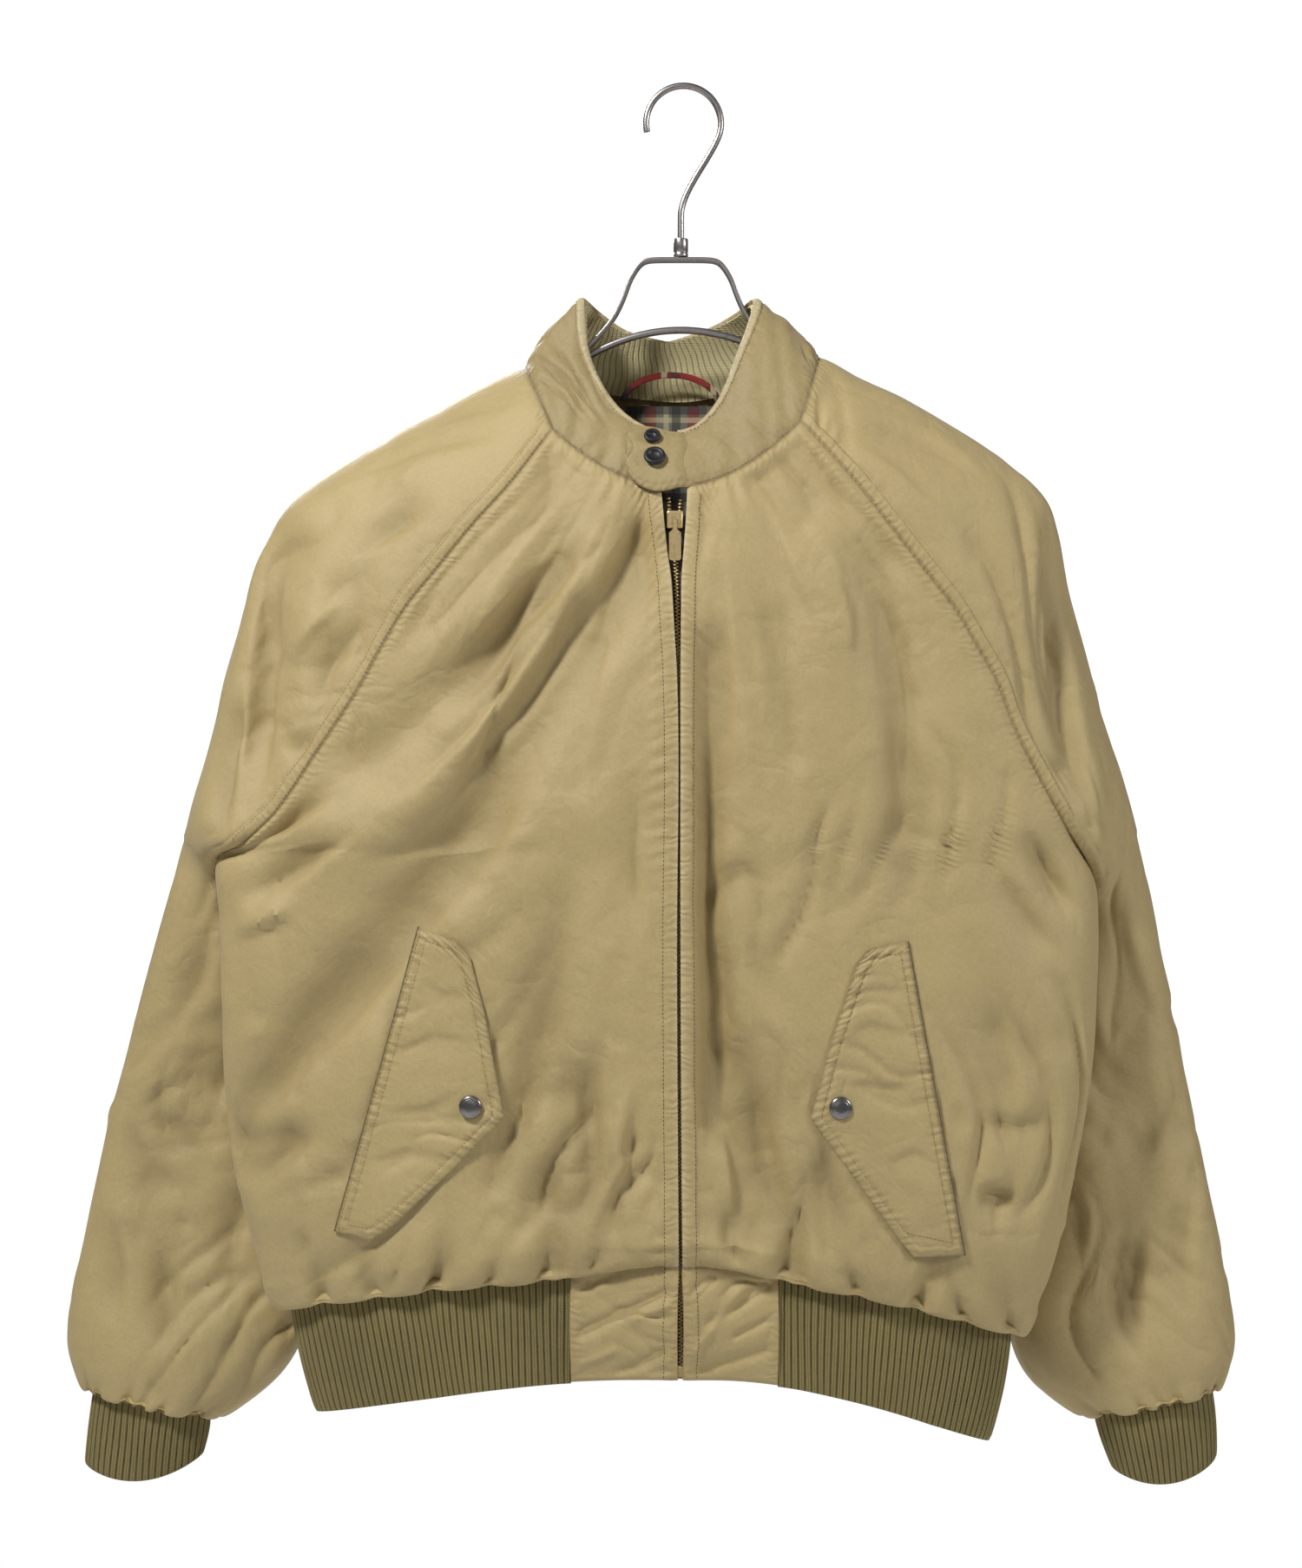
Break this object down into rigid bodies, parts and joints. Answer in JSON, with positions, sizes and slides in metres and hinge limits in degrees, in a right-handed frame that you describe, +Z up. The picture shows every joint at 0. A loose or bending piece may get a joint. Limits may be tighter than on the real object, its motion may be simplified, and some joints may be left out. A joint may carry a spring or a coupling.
{
  "type": "zip blouson jacket on a metal hanger",
  "caption": "Light padded raglan blouson with stand collar, zip front, slanted flap pockets and knitted hem and cuffs, hanging on a metal hanger.",
  "frame": {"origin": "inside top of the hanger's hook, where a rail holds it", "axes": "+Z up, -Y out of the front of the jacket, +X towards the viewer's right, which is the wearer's left"},
  "size_m": [0.8075, 0.1594, 0.9599],
  "materials": {
    "shell": "matt tan cotton poplin with light padding",
    "rib_knit": "olive rib knit",
    "check_cloth": "woven check cloth",
    "zip_cloth": "dark woven tape",
    "brass": "polished brass, a little aged",
    "button_black": "near-black plastic",
    "gunmetal": "dark nickel plating",
    "steel": "bright plated steel"
  },
  "bodies": {
    "jacket": {"front_right": "shell", "front_left": "shell", "back": "shell", "sleeve_right": "shell", "sleeve_left": "shell", "collar": "shell", "collar_tab": "shell", "hem_panel_right": "shell", "hem_panel_left": "shell", "pocket_flap_right": "shell", "pocket_flap_left": "shell", "collar_lining": "rib_knit", "hem_rib": "rib_knit", "cuff_right": "rib_knit", "cuff_left": "rib_knit", "back_neck_lining": "check_cloth", "hanger_loop": "check_cloth", "zip_tape_right": "zip_cloth", "zip_tape_left": "zip_cloth", "zip_slider": "brass", "zip_box": "brass", "collar_button_lower": "button_black", "collar_button_upper": "button_black", "snap_right": "gunmetal", "snap_left": "gunmetal", "hanger_hook": "steel", "hanger_ferrule": "steel", "hanger_bracket": "steel", "hanger_rod": "steel"},
    "zip_pull": {"zip_pull": "brass"}
  },
  "joints": [
    {"name": "pull_tab_hinge", "type": "hinge", "parent": "jacket", "child": "zip_pull", "pos_m": [-0.00618, -0.08222, -0.3008], "axis": [-1, 0, 0], "range_deg": [0, 150]}
  ]
}
